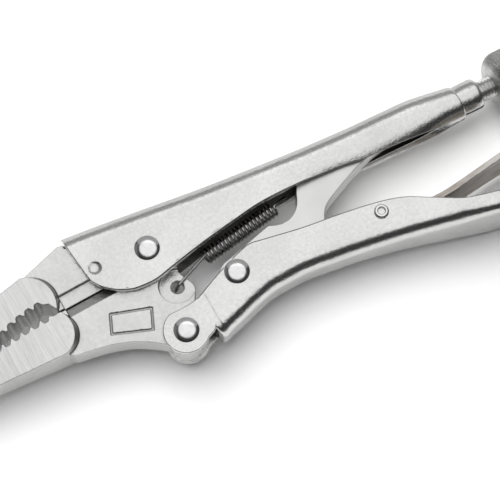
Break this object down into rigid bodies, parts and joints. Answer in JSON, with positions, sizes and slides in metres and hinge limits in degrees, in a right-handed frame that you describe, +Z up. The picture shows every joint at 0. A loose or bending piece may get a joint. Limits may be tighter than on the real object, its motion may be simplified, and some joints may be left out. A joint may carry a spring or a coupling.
{
  "type": "long-nose locking pliers",
  "caption": "Long-nose locking pliers with a wire cutter: toothed tapering jaws, folded sheet handles, toggle link, release lever, jaw spring and adjusting screw with a knob.",
  "frame": {"origin": "centre of the bounding box in plan, on the plane the tool rests on when it lies on its side", "axes": "+X along the tool from the jaw tips to the adjusting knob, +Y across it from the lower handle to the upper handle, +Z up, square to the flat sides and along every pivot"},
  "size_m": [0.2342, 0.0652, 0.025],
  "materials": {
    "plated_sheet": "satin nickel plating over pressed sheet",
    "forged_jaw": "plated forging, flat sides ground with fine cross lines",
    "link_steel": "satin plated, pressed edges",
    "lever_steel": "satin nickel plating",
    "rivet_steel": "polished domed heads",
    "spring_wire": "dark oil-tempered wire",
    "screw_steel": "plated thread",
    "plated_knob": "satin nickel plating, knurled edge"
  },
  "bodies": {
    "upper_handle": {"upper_handle": "plated_sheet", "fixed_jaw": "forged_jaw", "jaw_pivot_rivet": "rivet_steel", "jaw_spring": "spring_wire"},
    "moving_jaw": {"moving_jaw": "forged_jaw"},
    "lower_handle": {"lower_handle": "plated_sheet", "handle_pivot_rivet": "rivet_steel", "link_rivet": "rivet_steel", "lever_rivet": "rivet_steel"},
    "toggle_link": {"toggle_link": "link_steel"},
    "release_lever": {"release_lever": "lever_steel"},
    "adjusting_screw": {"adjusting_screw": "screw_steel"},
    "adjusting_knob": {"adjusting_knob": "plated_knob"}
  },
  "joints": [
    {"name": "jaw_hinge", "type": "hinge", "parent": "upper_handle", "child": "moving_jaw", "pos_m": [-0.01609, 0.01572, 0.0125], "axis": [0, 0, 1], "range_deg": [0, 30], "deforming": ["jaw_spring"]},
    {"name": "handle_hinge", "type": "hinge", "parent": "moving_jaw", "child": "lower_handle", "pos_m": [-0.01819, -0.01178, 0.0125], "axis": [0, 0, 1], "range_deg": [-92.5, 0]},
    {"name": "link_hinge", "type": "hinge", "parent": "lower_handle", "child": "toggle_link", "pos_m": [0.00321, -0.00398, 0.0125], "axis": [0, 0, 1], "range_deg": [0, 83]},
    {"name": "lever_hinge", "type": "hinge", "parent": "lower_handle", "child": "release_lever", "pos_m": [0.04931, -0.00958, 0.0125], "axis": [0, 0, 1], "range_deg": [-8, 0]},
    {"name": "screw_slide", "type": "slide", "parent": "upper_handle", "child": "adjusting_screw", "axis": [0.9986, -0.0523, 0], "range_m": [0, 0.01]},
    {"name": "knob_turn", "type": "hinge", "parent": "adjusting_screw", "child": "adjusting_knob", "pos_m": [0.10406, 0.01032, 0.0125], "axis": [0.9986, -0.0523, 0], "range_deg": [0, 3601]}
  ],
  "couplings": [
    {"joint": "handle_hinge", "follows": "jaw_hinge", "ratio": -3.0644},
    {"joint": "link_hinge", "follows": "jaw_hinge", "ratio": 2.753},
    {"joint": "knob_turn", "follows": "screw_slide", "rad_per_m": 6283.2}
  ]
}
